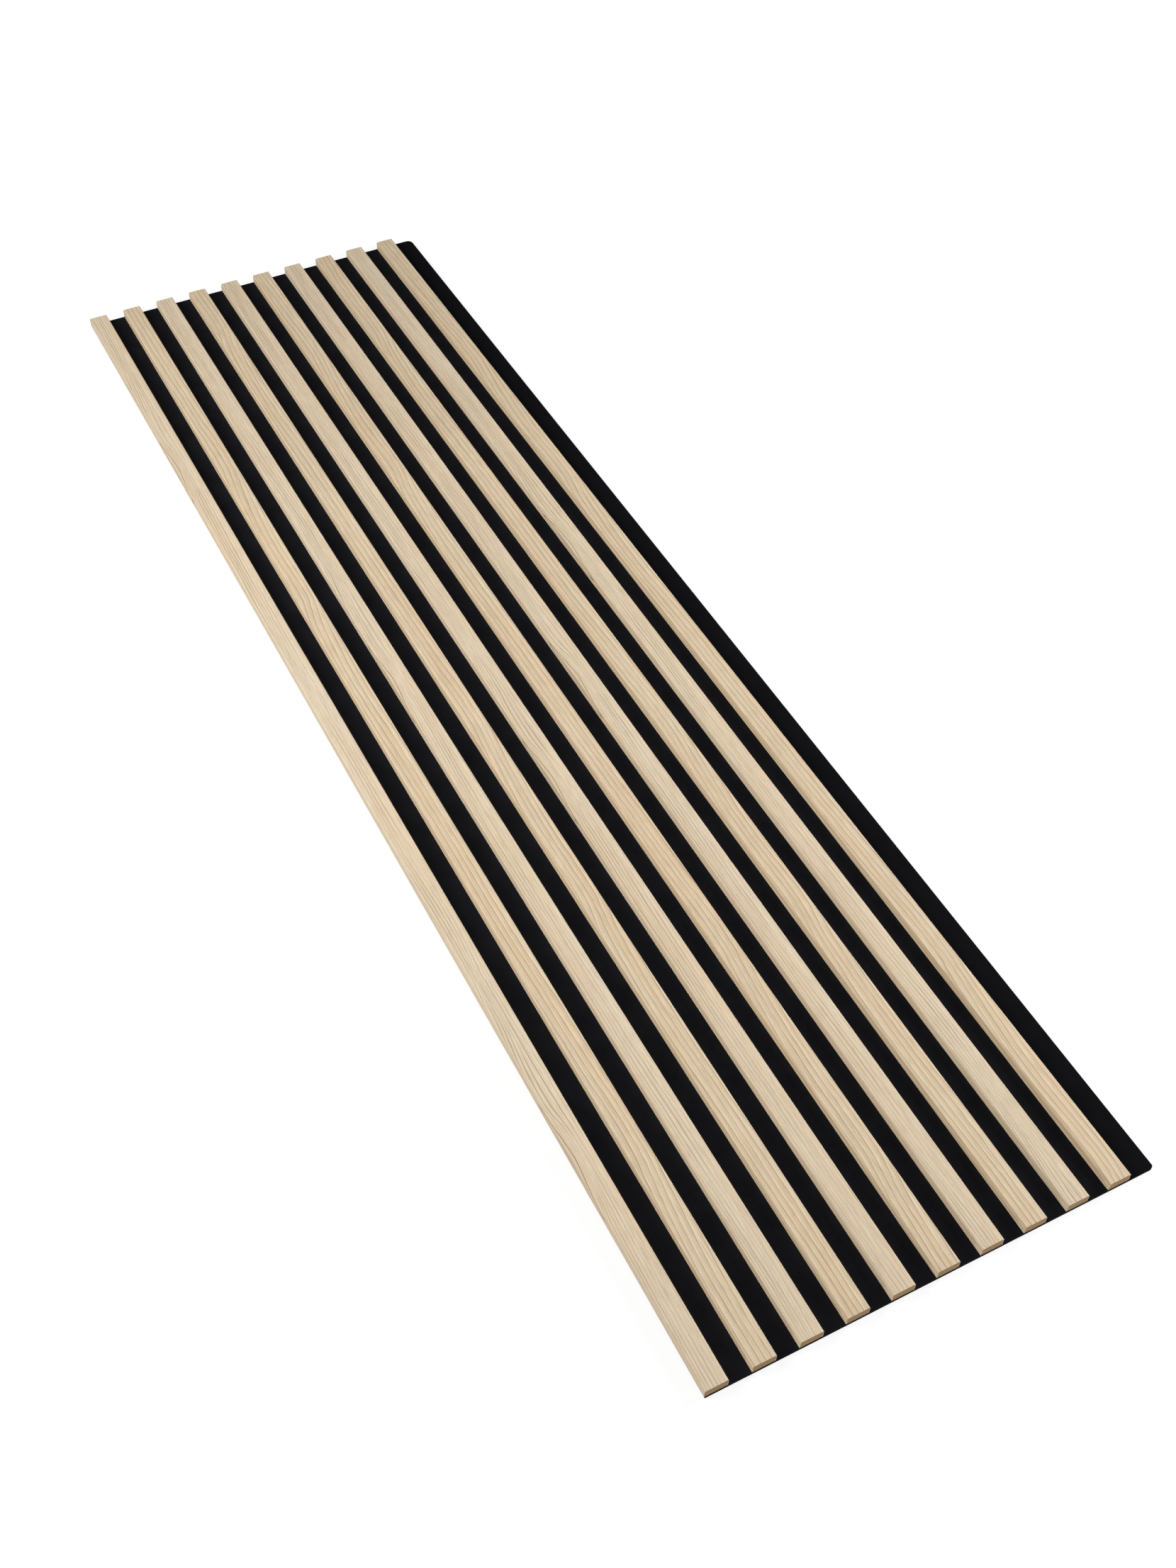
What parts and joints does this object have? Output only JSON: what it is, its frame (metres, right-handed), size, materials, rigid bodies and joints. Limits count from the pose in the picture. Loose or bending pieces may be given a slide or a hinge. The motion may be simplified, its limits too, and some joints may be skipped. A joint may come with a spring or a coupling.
{
  "type": "acoustic slat wall panel",
  "caption": "Flat wall panel of straight wood-wrapped slats stapled side by side, with open grooves between them, to a thin black felt backing board.",
  "frame": {"origin": "middle of the felt board's back face, the face that lies against the wall or the floor", "axes": "+X across the slats towards the bare strip of felt, +Y along the slats, +Z out of the back through the slats' faces"},
  "size_m": [0.607, 2.15, 0.0185],
  "materials": {
    "felt": "matt needled felt",
    "fibreboard": "sawn fibreboard, bare",
    "pale_wood": "satin wood wrap, fine straight grain",
    "streaked_wood": "satin wood wrap, brown streaks",
    "staple_steel": "galvanised flat wire"
  },
  "bodies": {
    "root": {"felt_backing": "felt", "slat_core_1": "fibreboard", "slat_core_2": "fibreboard", "slat_core_3": "fibreboard", "slat_core_4": "fibreboard", "slat_core_5": "fibreboard", "slat_core_6": "fibreboard", "slat_core_7": "fibreboard", "slat_core_8": "fibreboard", "slat_core_9": "fibreboard", "slat_core_10": "fibreboard", "slat_wrap_1": "pale_wood", "slat_wrap_2": "streaked_wood", "slat_wrap_3": "pale_wood", "slat_wrap_4": "streaked_wood", "slat_wrap_5": "pale_wood", "slat_wrap_6": "streaked_wood", "slat_wrap_7": "pale_wood", "slat_wrap_8": "streaked_wood", "slat_wrap_9": "pale_wood", "slat_wrap_10": "streaked_wood", "back_staples": "staple_steel"}
  },
  "joints": []
}
